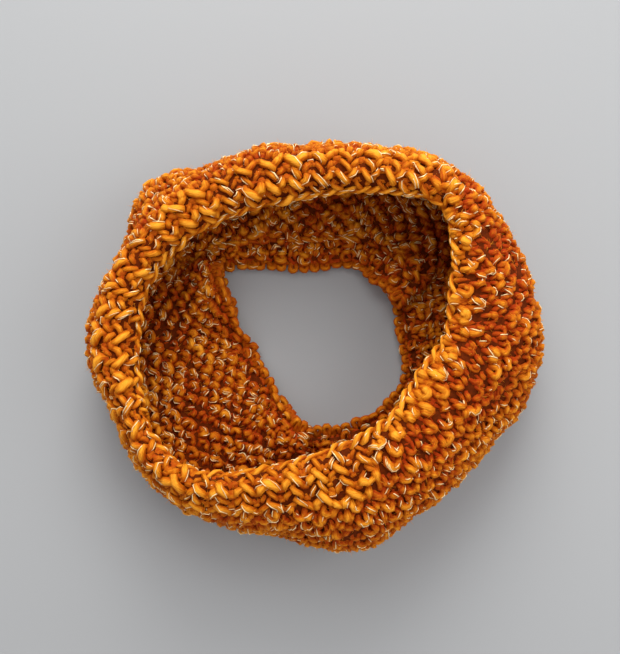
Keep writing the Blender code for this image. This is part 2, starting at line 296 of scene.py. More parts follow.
class Cloth:
    """The cloth's middle surface, read at any stitch and row."""

    def __init__(self, plan):
        self.rows = plan.rib_rows + plan.moss_rows
        self.stitches = plan.stitches
        turns = START + np.arange(TURN_STEPS) / TURN_STEPS * 360
        line, line_runs, heel_run = section_lines(turns)
        row = np.arange(self.rows * ROW_STEPS + 1) / ROW_STEPS
        run = np.where(row < plan.rib_rows, row / plan.rib_rows * RIB_BAND,
                       RIB_BAND + (row - plan.rib_rows) / plan.moss_rows * (1 - RIB_BAND))
        radius, height = (
            np.array([np.interp(run, r, p[:, axis]) for r, p in zip(line_runs, line)])
            for axis in (0, 1))
        ahead = unit(np.gradient(np.stack([radius, height], -1), axis=1))
        azimuth = np.broadcast_to(turns[:, None], radius.shape)
        push = fold_out(azimuth, run[None, :], heel_run[:, None])
        radius = radius - ahead[..., 1] * push
        height = height + ahead[..., 0] * push
        share = np.clip((run[None, :] - heel_run[:, None]) / (1 - heel_run[:, None]), 0, 1)
        azimuth, radius, height = tuck_pleats(azimuth, radius, height, share)
        turn = np.radians(azimuth)
        points = np.stack([RING_CENTRE[0] + radius * np.cos(turn),
                           RING_CENTRE[1] + radius * np.sin(turn), height], -1)
        self.points = self.even_columns(points)
        across = np.roll(self.points, -1, 0) - np.roll(self.points, 1, 0)
        self.ahead = np.gradient(self.points, axis=1) * ROW_STEPS
        self.normal = -unit(np.cross(across, self.ahead))
        self.points = self.points - self.normal * SET_BACK

    def even_columns(self, points):
        """Parts every row into the same number of equally long steps."""
        closed = np.concatenate([points, points[:1]])
        columns = self.stitches * COLUMN_STEPS
        rows = []
        for line in closed.transpose(1, 0, 2):
            lengths = lengths_along(line)
            wanted = np.arange(columns) / columns * lengths[-1]
            rows.append(np.stack([np.interp(wanted, lengths, axis) for axis in line.T], 1))
        return np.array(rows).transpose(1, 0, 2)

    def at(self, stitch, row):
        """Point, outward normal and way to the next row at stitches and rows."""
        columns = len(self.points)
        column = (stitch * COLUMN_STEPS) % columns
        inside = np.clip(row, 0, self.rows)
        i = column.astype(int) % columns
        k = np.minimum((inside * ROW_STEPS).astype(int), self.rows * ROW_STEPS - 1)
        f = (column - np.floor(column))[..., None]
        g = (inside * ROW_STEPS - k)[..., None]
        point, normal, ahead = (
            between(grid, i, k, f, g) for grid in (self.points, self.normal, self.ahead))
        return point + (row - inside)[..., None] * ahead, unit(normal), ahead

    def slip(self, stitch, row):
        """The way along a row, and how far the next row has slipped along it, in stitches."""
        before, after = (self.at(stitch + side, row)[0] for side in (-0.5, 0.5))
        along = after - before
        ahead = self.at(stitch, row)[2]
        return along, np.clip((ahead * along).sum(-1) / (along * along).sum(-1), -3, 3)


@lru_cache(maxsize=1)
def cloth_of(plan):
    """The cloth, worked out once."""
    return Cloth(plan)


# Strands of yarn or thread, one row of the arrays for each: its points, two ways square to it,
# its radius and tone, the cloth's outward way, and its height over the cloth's middle surface.
Strands = namedtuple("Strands", "points side up radius tone outward height")


def mirrored(way, across):
    """Ways mirrored in the planes square to others."""
    size = np.maximum((across * across).sum(1, keepdims=True), 1e-18)
    return way - 2 / size * (across * way).sum(1, keepdims=True) * across


def closed_strands(points, radius, tone, outward, height):
    """Strands along closed lines, whose square ways turn as little as they can."""
    ahead = unit(np.roll(points, -1, 1) - np.roll(points, 1, 1))
    count = points.shape[1]
    side = np.empty_like(points)
    helper = np.where(np.abs(ahead[:, 0, 2:3]) < 0.9, [[0.0, 0.0, 1.0]], [[1.0, 0.0, 0.0]])
    side[:, 0] = unit(np.cross(ahead[:, 0], helper))
    last = side[:, 0]
    for i in range(count):
        j = (i + 1) % count
        step = points[:, j] - points[:, i]
        bend = ahead[:, j] - mirrored(ahead[:, i], step)
        last = mirrored(mirrored(last, step), bend)
        if j:
            side[:, j] = last
    up = np.cross(ahead, side)
    # The turn that is left when a line closes is spread along it.
    turn = -angle_of(last, side[:, 0], up[:, 0])[:, None] * np.arange(count) / count
    side, up = leaning(turn, side, up), leaning(turn, up, -side)
    return Strands(points, side, up, radius, tone, outward, height)


def above_ground(points, radius):
    """Keeps a strand on the ground where it would sink into it."""
    points = points.copy()
    points[..., 2] = np.maximum(points[..., 2], radius + GROUND_GAP)
    return points


def hand_wobble(rng, shape, size):
    """Small differences from stitch to stitch."""
    wobble = rng.normal(0, 1, shape)
    wobble = (wobble + np.roll(wobble, 1, 1) * 0.5) / 1.118  # the spread stays 1
    return np.clip(wobble, -2, 2) * size


def spun(rng, shape, size):
    """Such differences, evened out along the yarn."""
    stitches = (shape[0], shape[1] // STITCH_STEPS)
    values = np.repeat(hand_wobble(rng, stitches, size), STITCH_STEPS, 1)
    return sum(np.roll(values, s, 1) for s in range(-6, 7)) / 13


def uneven(rng, stitch, row, cloth, cell):
    """A smooth field over the cloth, alike for neighbouring stitches."""
    columns = round(cloth.stitches / cell)
    grid = rng.normal(0, 1, (columns, int(cloth.rows / cell) + 6))
    u = (stitch % cloth.stitches) / cloth.stitches * columns
    v = np.clip(row / cell + 2, 0, grid.shape[1] - 2)
    i, k = u.astype(int) % columns, v.astype(int)
    return between(grid, i, k, smooth(u - np.floor(u)), smooth(v - k))


def rib_end(plan, stitch):
    """The row where the rib gives way to moss; it does so early on the ring's quiet side."""
    middle, half = QUIET_SIDE
    away = np.abs(from_azimuth(middle, START + stitch / plan.stitches * 360))
    return plan.rib_rows - QUIET_ROWS * smooth((half - away) / QUIET_EDGE)


def loop_phase(steps):
    """The way round a loop, in radians: from one foot over the head at 0 to the other foot."""
    return ((np.arange(steps) + 0.5) / steps * 2 - 1)[None, None, :] * pi


def loop_across(t, bulge):
    """Where a loop lies across its stitch; the bulge bends its legs outwards."""
    return t / (2 * pi) + bulge / (2 * pi) * np.sin(2 * t)


def pattern_of(plan):
    """Which stitches are knit, 1, or purl, -1, here and in the next row, and the rib's masks.

    The masks are for all of the rib, its knit and purl stitches, and its drawn-in ones.
    """
    i = np.arange(plan.stitches)[None, :]
    j = np.arange(plan.rib_rows + plan.moss_rows + 1)[:, None]
    ribbed = j + 0.5 < rib_end(plan, i)
    kind = np.where(ribbed, 1 - 2 * (i % 2), 1 - 2 * ((i + j) % 2)).astype(float)
    this, following, ribbed = kind[:-1, :, None], kind[1:, :, None], ribbed[:-1, :, None]
    knit_rib = ribbed & (this > 0)
    # Every other row of the rib lies wide open, and the row between is drawn in.
    drawn_in = knit_rib & (j[:-1, :, None] % 2 == 0)
    return this, following, ribbed, knit_rib, ribbed & (this < 0), drawn_in


def loop_paths(rng, pattern, t):
    """The yarn's way through every stitch, in stitches across it and in rows along it."""
    this, _, ribbed, knit_rib, purl_rib, drawn_in = pattern
    shape = this.shape
    # Round the outer wall the moss is stretched sideways, and its loops stay narrow.
    stretched = smooth((OUTER_ROWS - np.arange(shape[0])[:, None, None]) / 4)
    bulge = np.select([drawn_in, knit_rib, purl_rib], [1.5, 2.15, 1.1], 1.1 - 0.4 * stretched)
    bulge = bulge + hand_wobble(rng, shape, 1.0) * np.where(ribbed, 0.25, 0.35)
    across = loop_across(t, bulge) + hand_wobble(rng, shape, 0.05) * np.cos(t / 2)
    reach = np.where(ribbed, RIB_REACH, MOSS_REACH) * (1 + hand_wobble(rng, shape, 0.06))
    along = 0.5 + reach * np.cos(t) + hand_wobble(rng, shape, 0.06) * np.cos(t / 2)
    # The second leg of a knit stitch of the rib lies over the first one's foot.
    turn, second = np.abs(t) / pi, knit_rib & (t > 0)
    by_foot = smooth((turn - 0.35) / 0.35) * (1 - smooth((turn - 0.85) / 0.15)) * knit_rib
    across = across - np.where(second, 0.10, -0.02) * by_foot
    return across, along - np.where(second, 0.10, -0.14) * by_foot


def loop_heights(rng, pattern, t, plan):
    """The yarn's height over the cloth's middle surface, all through every stitch."""
    this, following, ribbed, knit_rib, purl_rib, drawn_in = pattern
    shape, left = this.shape, t < 0
    turn, second = np.abs(t) / pi, knit_rib & (t > 0)
    neighbour = np.where(left, np.roll(this, 1, 1), np.roll(this, -1, 1))
    # In moss stitch each leg, foot and head shows as much or as little as the hand left it.
    shown = rng.uniform(-0.1, 1.1, shape)
    any_leg = np.where(left, shown, 1.0 - shown + rng.normal(0, 0.1, shape))
    any_foot = np.where(left, rng.uniform(0.5, 1.2, shape), rng.uniform(0.5, 1.2, shape))
    any_head = rng.uniform(0.4, 1.3, shape)
    leg = this * plan.leg_rise * np.select([drawn_in, ribbed], [0.6, 1.0], any_leg)
    foot = -this * plan.foot_rise * np.select([purl_rib, ribbed], [0.6, 1.0], any_foot)
    head = -following * plan.head_rise * np.select([purl_rib, ribbed], [0.8, 1.2], any_head)
    sinker = -(this + neighbour) / 2 * plan.foot_rise
    # The yarn goes from the head to the leg, then dives to the foot, and on to the sinker.
    height = head + (leg - head) * smooth((turn - 0.06) / 0.32)
    dive = np.select([second, knit_rib, ribbed], [0.60, 0.44, 0.58], 0.50)
    height = height + (foot - height) * smooth((turn - dive) / np.where(ribbed, 0.36, 0.24))
    height = height + (sinker - height) * smooth((turn - 0.84) / 0.16)
    return height + hand_wobble(rng, shape, 0.35 * MM) * np.cos(t / 2)


def half_thickness(rng, plan, drawn_in, moss_row, height):
    """Half of the yarn's thickness all along the rows."""
    slub = spun(rng, moss_row.shape, 0.16)
    lumps = rng.normal(0, 0.05, slub.shape)
    slub = slub + (lumps + np.roll(lumps, 1, 1)) / 1.4
    # Yarn swells where it is proud of the cloth and free, and is squeezed where it dives.
    plump = 0.80 + 0.28 * smooth(np.abs(height) / (2.6 * MM))
    packed = 1 - (1 - plan.moss_share) * smooth(moss_row / 4)
    packed = packed * np.repeat(np.where(drawn_in[..., 0], 0.82, 1.0), STITCH_STEPS, 1)
    return plan.yarn_radius * packed * (1 + slub) * plump * 0.96


def tone_with_painted_shade(rng, plan, stitch, moss_row):
    """The yarn's tone, a random dye tone with painted shade on the moss: 0 is the middle one,
    and less is darker.
    """
    tone = 0.6 * spun(rng, stitch.shape, 0.5)
    # Painted shade: the moss takes the tone's darker end, most next to the rib on the quiet
    # side, and least round the outer wall.
    quiet = (plan.rib_rows - rib_end(plan, stitch)) / QUIET_ROWS
    for start, rows, shift, quiet_shift in PAINTED_SHADE_SHIFTS:
        tone = tone + (shift + quiet_shift * quiet) * smooth((moss_row - start) / rows)
    return tone


@lru_cache(maxsize=1)
def knitted_rows(plan):
    """The yarn of every row of stitches, each row one closed strand."""
    cloth, pattern, t = cloth_of(plan), pattern_of(plan), loop_phase(STITCH_STEPS)
    rng = np.random.default_rng(STITCH_SEED)
    across, along = loop_paths(rng, pattern, t)
    height = loop_heights(rng, pattern, t, plan)
    own_row = np.arange(cloth.rows)[:, None, None]
    stitch = np.arange(cloth.stitches)[None, :, None] + across
    row = own_row + along
    spread = RIB_SPREAD * np.clip(rib_end(plan, stitch) - own_row, 0, 1)
    stitch = stitch + spread / pi * np.sin(pi * stitch)
    ribs = smooth(rib_end(plan, stitch) + 0.5 - row)
    height = height + plan.rib_rise * ribs * np.cos(pi * stitch)
    loose = plan.unevenness * (1 - 0.60 * ribs)
    across, along, out = (
        sum(size * uneven(rng, stitch, row, cloth, cell) for size, cell in PULLS)
        for _ in range(3))
    height = height + loose * PULL_OUT * out
    stitch = stitch + loose * PULL_ACROSS * across
    row = row + loose * PULL_ALONG * along

    stitch, row, height = (a.reshape(cloth.rows, -1) for a in (stitch, row, height))
    # Where the cloth is tucked its rows slip past each other, and the stitches stay upright.
    middle = np.arange(cloth.rows)[:, None] + 0.5 + 0 * stitch
    stitch = stitch - (row - middle) * cloth.slip(stitch, middle)[1]
    point, normal, _ = cloth.at(stitch, row)
    moss_row = row - rib_end(plan, stitch)
    radius = half_thickness(rng, plan, pattern[-1], moss_row, height)
    tone = tone_with_painted_shade(rng, plan, stitch, moss_row)
    points = above_ground(point + normal * height[..., None], radius)
    return closed_strands(points, radius, tone, normal, height)


@lru_cache(maxsize=1)
def cast_on_rope(plan):
    """Two strands twisted along the upper edge."""
    cloth = cloth_of(plan)
    rng = np.random.default_rng(STITCH_SEED + 2)
    turns = round(cloth.stitches / ROPE_PITCH)
    count = turns * ROPE_STEPS
    u = np.arange(count)[None, :] / count * cloth.stitches + np.zeros((2, 1))
    point, normal, ahead = cloth.at(u, 0 * u)
    off = -unit(ahead)
    both, apart, swing, slub = (
        uneven(rng, u, np.array([[0.0], [4.0]]) * k, cloth, 1.8) for k in (0, 1, 1, 1))
    turn = u / cloth.stitches * 2 * pi * turns + np.array([[0], [pi]])
    turn = turn + plan.unevenness * (0.8 * both + 0.35 * apart)
    radius = plan.yarn_radius * (0.70 + 0.10 * slub)
    twist = (1.8 + 0.6 * plan.unevenness * swing) * MM
    lean = leaning(turn, normal, off)
    points = point + off * (2.2 * MM) + lean * twist[..., None]
    # What faces the twist's middle lies deep, so the outward way runs from there, and the
    # painted shade darkens the rope's inner side.
    return closed_strands(points, radius, 0.4 * apart, lean, twist + 1.2 * MM)


@lru_cache(maxsize=1)
def bound_off_loops(plan):
    """The tight loops that close the lower edge, one between two stitches."""
    cloth = cloth_of(plan)
    rng = np.random.default_rng(STITCH_SEED + 1)
    t = loop_phase(LOOP_STEPS)
    shape = (1, cloth.stitches, 1)
    across = loop_across(t, 0.9 + hand_wobble(rng, shape, 0.35))
    u = np.arange(cloth.stitches)[:, None] + across + 0.5 + hand_wobble(rng, shape, 0.12)
    swing = (2.9 + hand_wobble(rng, shape, 1.0)) * MM * np.cos(t)
    # Only a loop's end shows, on the cloth's upper side; its feet go behind the last row.
    height = (0.3 - 1.6 * np.cos(t)) * MM
    height = height + hand_wobble(rng, shape, 0.6 * MM) * np.cos(t / 2)
    u, swing, height = (a.reshape(1, -1) for a in (u, swing, height))
    last_row = 0 * u + cloth.rows
    point, normal, ahead = cloth.at(u, last_row)
    along, slip = cloth.slip(u, last_row)
    ahead = ahead - slip[..., None] * along
    radius = plan.yarn_radius * (0.84 + 0.06 * np.cos(np.arange(u.size) * 0.37)[None, :])
    points = point + unit(ahead) * (swing + 3.9 * MM)[..., None] + normal * height[..., None]
    return closed_strands(above_ground(points, radius), radius, 0 * u, normal, height)


def proud_way(strands, line, at):
    """The way out of the cloth on the side where a strand stands proud of it."""
    return strands.outward[line, at] * np.sign(strands.height[line, at])[:, None]


def thread_glints(strands, plan, share, seed):
    """Short stretches of thread that come out of the yarn and go in again."""
    rng = np.random.default_rng(seed)
    count = strands.radius.shape[1]
    proud = np.abs(strands.height)
    share = share * (0.25 + 0.75 * smooth(strands.tone + 2.1))  # fewer where painted shade darkens the moss
    keep = rng.uniform(0, 1, proud.shape) < share * smooth(proud / (2.5 * MM) - 0.1)
    line, middle = np.nonzero(keep)
    facing = proud_way(strands, line, middle)[:, None, :]
    window = np.arange(-THREAD_STEPS, THREAD_STEPS + 1)
    place = middle[:, None] + window[None, :] * rng.uniform(0.55, 1.15, (len(middle), 1))
    at = np.floor(place).astype(int)
    step = (place - at)[..., None]
    line = line[:, None]

    def read(values):
        return values[line, at % count] * (1 - step) + values[line, (at + 1) % count] * step

    points, side, up = read(strands.points), unit(read(strands.side)), unit(read(strands.up))
    radius = read(strands.radius[..., None])[..., 0]
    lengths = lengths_along(points)
    lengths = lengths - lengths[:, THREAD_STEPS, None]
    towards = angle_of(facing, side, up)[:, THREAD_STEPS, None]
    lean = rng.uniform(0.2, 1.2, (len(at), 1)) * rng.choice([-1.0, 1.0], (len(at), 1))
    wind = towards + lean + 2 * pi * lengths / plan.thread_pitch
    s = np.abs(window / THREAD_STEPS)[None, :]
    reach = radius + plan.thread_radius * (0.65 - 2.0 * s ** 3)
    ring = leaning(wind, side, up)
    path = above_ground(points + reach[..., None] * ring, plan.thread_radius)
    ahead = unit(np.gradient(path, axis=1))
    beside = unit(np.cross(ahead, ring))
    size = plan.thread_radius * (1 - 0.45 * s ** 2) + 0 * wind
    return Strands(path, beside, -np.cross(beside, ahead), size, 0 * wind, ring, 0 * wind)


def loose_fibres(plan):
    """Short fibres that stand off the yarn: roots, tips, and the ways across and out."""
    rng = np.random.default_rng(FIBRE_SEED)
    strands = knitted_rows(plan)
    rows, count = strands.radius.shape
    line, at = rng.integers(0, rows, FIBRES), rng.integers(0, count, FIBRES)
    side, up = strands.side[line, at], strands.up[line, at]
    angle = angle_of(proud_way(strands, line, at), side, up) + rng.normal(0, 0.9, FIBRES)
    out = leaning(angle, side, up)
    along = np.cross(side, up) * rng.choice([-1.0, 1.0], (FIBRES, 1))
    root = strands.points[line, at] + out * strands.radius[line, at][:, None] * 0.8
    way = unit(along + out * rng.uniform(0.3, 1.3, (FIBRES, 1))
               + np.cross(along, out) * rng.normal(0, 0.5, (FIBRES, 1)))
    tip = above_ground(root + way * rng.uniform(2.0, 5.0, (FIBRES, 1)) * MM, GROUND_GAP)
    return root, tip, unit(np.cross(way, out)), out


# ---- meshes ----
def mesh_piece(name, vertices, faces, face_uv, tone, lift, material):
    """Makes a smooth mesh piece of groups of faces that rides on the scarf's one body."""
    mesh = bpy.data.meshes.new(name)
    mesh.vertices.add(vertices.size // 3)
    mesh.vertices.foreach_set("co", np.ascontiguousarray(vertices, np.float32).ravel())
    corners = np.concatenate([group.ravel() for group in faces])
    mesh.loops.add(len(corners))
    mesh.loops.foreach_set("vertex_index", corners.astype(np.int32))
    sizes = np.concatenate([np.full(len(group), group.shape[1]) for group in faces])
    mesh.polygons.add(len(sizes))
    mesh.polygons.foreach_set("loop_start", (np.cumsum(sizes) - sizes).astype(np.int32))
    layer = mesh.uv_layers.new(name="along_yarn")
    places = np.zeros(len(corners) * 2, np.float32)
    places[:face_uv.size] = face_uv.ravel()
    layer.data.foreach_set("uv", places)
    for label, values in (("stitch_tone", tone), ("stands_out", lift)):
        layer = mesh.attributes.new(label, "FLOAT", "POINT")
        layer.data.foreach_set("value", np.ascontiguousarray(values, np.float32).ravel())
    mesh.update(calc_edges=True)
    mesh.shade_smooth()
    mesh.materials.append(material)
    piece = bpy.data.objects.new(name, mesh)
    bpy.context.scene.collection.objects.link(piece)
    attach(piece, "root")
    return piece


def tube_quads(lines, count, sides, closed=True):
    """The quads of tubes whose vertices come ring by ring."""
    i, k = np.arange(count if closed else count - 1)[:, None], np.arange(sides)
    start = np.arange(lines)[:, None, None] * count
    here, there = (start + i) * sides, (start + (i + 1) % count) * sides
    m = (k + 1) % sides
    return np.stack([here + k, here + m, there + m, there + k], -1).reshape(-1, 4)


def strand_tubes(name, strands, sides, material, closed=True, tufted=0.08):
    """Skins strands with round tubes; their UV goes round and along in metres."""
    points, side, up, radius, tone, outward, height = strands
    lines, count = radius.shape
    turn = np.arange(sides) / sides * 2 * pi
    out = leaning(turn, side[:, :, None], up[:, :, None])
    # Tufts of fibres make the strand's surface uneven; film thread has none.
    rng = np.random.default_rng(len(name))
    tufts = 1 + tufted * rng.normal(0, 1, (lines, count, sides, 1))
    vertices = points[:, :, None] + radius[:, :, None, None] * out * tufts
    # Painted shade: a strand's flank, and yarn that lies deep in the cloth, get a low lift,
    # which the yarn's material darkens as if shaded by the neighbouring strands.
    facing = (out * outward[:, :, None]).sum(-1)
    lift = np.abs(facing * radius[:, :, None] + height[:, :, None])
    lift = lift * (0.45 + 0.55 * facing * np.sign(height[:, :, None]))
    k, last = np.arange(sides), count if closed else count - 1
    steps = np.linalg.norm(np.roll(points, -1, 1) - points, axis=2)[..., None]
    begin = (np.cumsum(steps, 1) - steps)[:, :last] + 0 * k
    end = begin + steps[:, :last]
    left, right = k / sides + 0 * begin, (k + 1) / sides + 0 * begin
    uv = np.stack([left, begin, right, begin, right, end, left, end], -1)
    faces = [tube_quads(lines, count, sides, closed)]
    if not closed:
        start = np.arange(lines)[:, None] * count * sides
        faces += [start + k[::-1], start + last * sides + k]
    tone = np.repeat(tone.reshape(-1), sides)
    return mesh_piece(name, above_ground(vertices, 0), faces, uv, tone, lift, material)


def yarn_tubes(context, name, strands):
    """Skins strands with the yarn."""
    return strand_tubes(name, strands, YARN_SIDES, context.scene.scarf_colours.yarn())


def picked(strands, first, last=None):
    """The strands of some rows."""
    return Strands(*(values[first:last] for values in strands))


# ---- materials ----
FIBRE_TURN = 45 * MM  # yarn in which its fibres go round it once


def linear(colour):
    """An sRGB hex colour as linear red, green, blue and alpha."""
    channels = [int(colour[i:i + 2], 16) / 255 for i in (1, 3, 5)]
    return tuple(c / 12.92 if c <= 0.04045 else ((c + 0.055) / 1.055) ** 2.4
                 for c in channels) + (1.0,)


def add_node(tree, kind, inputs=None, **settings):
    """Adds a node, and sets its properties and its inputs.

    An input takes a value or a socket, or a node for the first of its outputs.
    """
    node = tree.nodes.new("ShaderNode" + kind)
    for name, value in settings.items():
        setattr(node, name, value)
    for name, value in (inputs or {}).items():
        if isinstance(value, bpy.types.Node):
            value = value.outputs[0]
        if isinstance(value, bpy.types.NodeSocket):
            tree.links.new(value, node.inputs[name])
        else:
            node.inputs[name].default_value = value
    return node


def material_once(name, make, *values):
    """The material of that name, made the first time it is asked for."""
    material = bpy.data.materials.get(name)
    if material is None:
        material = bpy.data.materials.new(name)
        material.use_nodes = True
        tree = material.node_tree
        tree.nodes.clear()
        shader = make(tree, *values)
        add_node(tree, "OutputMaterial", {"Surface": shader})
    return material


def bulky_wool_yarn(tree, colours):
    """Thick wool-blend yarn, softly spun: matt and hairy, with fibres that wind round it."""
    uv = add_node(tree, "UVMap", uv_map="along_yarn")
    parts = add_node(tree, "SeparateXYZ", {"Vector": uv})
    round_yarn, down_yarn = parts.outputs["X"], parts.outputs["Y"]
    twist = add_node(tree, "Math", {0: down_yarn, 1: 1 / FIBRE_TURN, 2: round_yarn},
                     operation="MULTIPLY_ADD")
    angle = add_node(tree, "Math", {0: twist, 1: 2 * pi}, operation="MULTIPLY")
    cosine, sine = (
        add_node(tree, "Math", {0: angle}, operation=kind) for kind in ("COSINE", "SINE"))
    along = add_node(tree, "Math", {0: down_yarn, 1: 90.0}, operation="MULTIPLY")
    fibre_place = add_node(tree, "CombineXYZ", {"X": cosine, "Y": sine, "Z": along})
    # Locks of fibre about 1 mm wide and 5 mm long, coarser than real ones so that they show.
    fibres = add_node(tree, "TexNoise", {
        "Vector": fibre_place, "Scale": 2.4, "Detail": 5.0, "Roughness": 0.8})
    # The dye took unevenly, in patches of about 26 mm.
    place = add_node(tree, "TexCoord")
    dye = add_node(tree, "TexNoise", {
        "Vector": place.outputs["Object"], "Scale": 38.0, "Detail": 2.0})
    tone, stands_out = (
        add_node(tree, "Attribute", attribute_name=label).outputs["Fac"]
        for label in ("stitch_tone", "stands_out"))
    # Painted light and shade: yarn with a low lift, deep between the strands and on their
    # flanks, takes the ramp's darker end, and yarn that stands out most takes its lighter end.
    blend = add_node(tree, "MapRange", {
        "Value": stands_out, "From Min": 0.4 * MM, "From Max": 6.2 * MM},
        interpolation_type="SMOOTHSTEP")
    for source, weight in ((fibres, 2.1), (dye, 0.25), (tone, 0.2)):
        blend = add_node(tree, "Math", {0: source, 1: weight, 2: blend},
                         operation="MULTIPLY_ADD")
    blend = add_node(tree, "Math", {0: blend, 1: 0.78, 2: -0.67}, operation="MULTIPLY_ADD")
    ramp = add_node(tree, "ValToRGB", {"Fac": blend})
    stops = ramp.color_ramp.elements
    stops.new(0.5)
    for stop, position, colour in zip(stops, (0.05, 0.50, 0.95), colours[::-1]):
        stop.position = position
        stop.color = colour
    bump = add_node(tree, "Bump", {"Strength": 1.0, "Distance": 0.7 * MM, "Height": fibres})
    return add_node(tree, "BsdfPrincipled", {
        "Base Color": ramp, "Roughness": 0.65, "IOR": 1.45, "Specular IOR Level": 0.12,
        "Sheen Weight": 0.06, "Sheen Roughness": 0.5, "Sheen Tint": colours[0],
        "Normal": bump})


def metallised_thread(tree, colour):
    """Flat gold film spun into a thread: bright glints where it faces the light."""
    uv = add_node(tree, "UVMap", uv_map="along_yarn")
    # The film creases every 1.4 mm or so.
    glints = add_node(tree, "TexNoise", {"Vector": uv, "Scale": 700.0, "Detail": 1.0})
    rough = add_node(tree, "MapRange", {"Value": glints, "To Min": 0.22, "To Max": 0.5})
    return add_node(tree, "BsdfPrincipled", {
        "Base Color": colour, "Metallic": 0.4, "Roughness": rough, "Specular IOR Level": 0.2})


def gap_shade_material(tree, colour):
    """Painted shade between the strands: a dark sheet without any shine, seen through the gaps,
    with a fibrous texture.
    """
    place = add_node(tree, "TexCoord")
    # Tangles of about 2.4 mm, coarser than real ones so that they show.
    fibres = add_node(tree, "TexNoise", {
        "Vector": place.outputs["Object"], "Scale": 420.0, "Detail": 4.0, "Roughness": 0.7})
    shade = add_node(tree, "HueSaturation", {"Color": colour, "Value": fibres})
    bump = add_node(tree, "Bump", {"Strength": 0.6, "Distance": 0.6 * MM, "Height": fibres})
    return add_node(tree, "BsdfPrincipled", {
        "Base Color": shade, "Roughness": 0.95, "Specular IOR Level": 0.1, "Normal": bump})


def matt_board(tree, colour):
    """Painted board, pale, even and without shine: it shows the scarf's soft shadow."""
    return add_node(tree, "BsdfPrincipled", {"Base Color": colour, "Roughness": 0.9})


# ---- settings ----
class ScarfKnit(bpy.types.PropertyGroup):
    """Sizes of the knitting."""
    stitches: IntProperty(
        name="Stitches round", description="Stitches in one round of the tube",
        default=92, min=12)
    rib_rows: IntProperty(
        name="Ribbed rows", description="Rows of rib at the upper edge", default=4, min=1)
    moss_rows: IntProperty(
        name="Moss rows", description="Rows of moss stitch after the rib", default=29, min=4)
    yarn_radius: FloatProperty(
        name="Yarn radius", description="Half of the yarn's thickness",
        default=2.3 * MM, min=0.2 * MM, unit="LENGTH", precision=5)
    leg_rise: FloatProperty(
        name="Leg rise", description="How far a stitch's legs stand out",
        default=2.1 * MM, unit="LENGTH", precision=5)
    foot_rise: FloatProperty(
        name="Foot rise", description="How far a stitch's feet lie behind",
        default=2.9 * MM, unit="LENGTH", precision=5)
    head_rise: FloatProperty(
        name="Head rise", description="How far a stitch's head is held back",
        default=2.1 * MM, unit="LENGTH", precision=5)
    rib_rise: FloatProperty(
        name="Rib rise", description="How far the ribs stand out",
        default=0.7 * MM, unit="LENGTH", precision=5)
    moss_share: FloatProperty(
        name="Yarn in moss", default=0.88, min=0.5, max=1.0, subtype="FACTOR",
        description="Share of its thickness that the yarn keeps in moss stitch")
    unevenness: FloatProperty(
        name="Unevenness", default=1.0, min=0.0, max=2.0, subtype="FACTOR",
        description="How unevenly the hand drew the stitches")
    thread_radius: FloatProperty(
        name="Thread radius", description="Half of the gold thread's thickness",
        default=0.34 * MM, unit="LENGTH", precision=5)
    thread_pitch: FloatProperty(
        name="Thread pitch", description="Yarn in which the gold thread goes round it once",
        default=40.0 * MM, unit="LENGTH", precision=5)

    def plan(self):
        """These sizes as one value."""
        return Plan(*(getattr(self, name) for name in Plan._fields))


Plan = namedtuple("Plan", ScarfKnit.__annotations__)


class ScarfColours(bpy.types.PropertyGroup):
    """Colours of the yarn, the thread, the painted shade between strands, and the board."""
    # Painted light: the yarn takes this colour where it stands out most, mixed with its lighter
    # fibres.
    lit: FloatVectorProperty(
        name="Yarn, light", description="The yarn's lighter fibres",
        subtype="COLOR", size=4, default=linear("#FFA82C"))
    body: FloatVectorProperty(
        name="Yarn, body", description="The yarn's main colour",
        subtype="COLOR", size=4, default=linear("#CC7006"))
    # Painted shade: the yarn takes this colour on strands' flanks and deep between strands,
    # mixed with its darker fibres.
    deep: FloatVectorProperty(
        name="Yarn, deep", description="The yarn's fibres between strands",
        subtype="COLOR", size=4, default=linear("#A83400"))
    gold: FloatVectorProperty(
        name="Thread", description="The metallic thread's film",
        subtype="COLOR", size=4, default=linear("#FFE4AA"))
    # Painted shade: the colour of the dark sheet seen between the strands.
    felt: FloatVectorProperty(
        name="Between strands", description="Fibres deep in the cloth",
        subtype="COLOR", size=4, default=linear("#7E2E00"))
    board: FloatVectorProperty(
        name="Board", description="The board under the scarf",
        subtype="COLOR", size=4, default=linear("#A0A1A1"))

    def yarn(self):
        """The yarn's material."""
        return material_once(
            "bulky_wool_blend_yarn", bulky_wool_yarn, (self.lit, self.body, self.deep))

    def thread(self):
        """The gold thread's material."""
        return material_once("gold_metallised_thread", metallised_thread, self.gold)


# ---- operators ----
class SCARF_OT_rows(bpy.types.Operator):
    """Knits the rib, then the moss stitch of the outer wall, the heel and the floor"""
    bl_idname = "scarf.rows"
    bl_label = "Knit the rows"

    def execute(self, context):
        plan = context.scene.scarf_knit.plan()
        rows = knitted_rows(plan)
        piece = yarn_tubes(context, "yarn_rib_rows", picked(rows, 0, plan.rib_rows))
        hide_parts("rib_band")
        bounds = np.linspace(plan.rib_rows, len(rows.points), 4).round().astype(int)
        for name, first, last in zip(("wall", "heel", "floor"), bounds[:-1], bounds[1:]):
            piece = yarn_tubes(context, f"yarn_moss_{name}", picked(rows, first, last))
            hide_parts("moss_body")
        return {"FINISHED"}


class SCARF_OT_edges(bpy.types.Operator):
    """Lays the twisted cast-on edge, and the bound-off edge's loops round the central hole"""
    bl_idname = "scarf.edges"
    bl_label = "Lay the two edges"

    def execute(self, context):
        plan = context.scene.scarf_knit.plan()
        piece = yarn_tubes(context, "yarn_cast_on_edge", cast_on_rope(plan))
        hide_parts("cast_on_edge")
        piece = yarn_tubes(context, "yarn_bound_off_edge", bound_off_loops(plan))
        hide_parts("bound_off_edge_top", "bound_off_edge_left", "bound_off_edge_right")
        return {"FINISHED"}


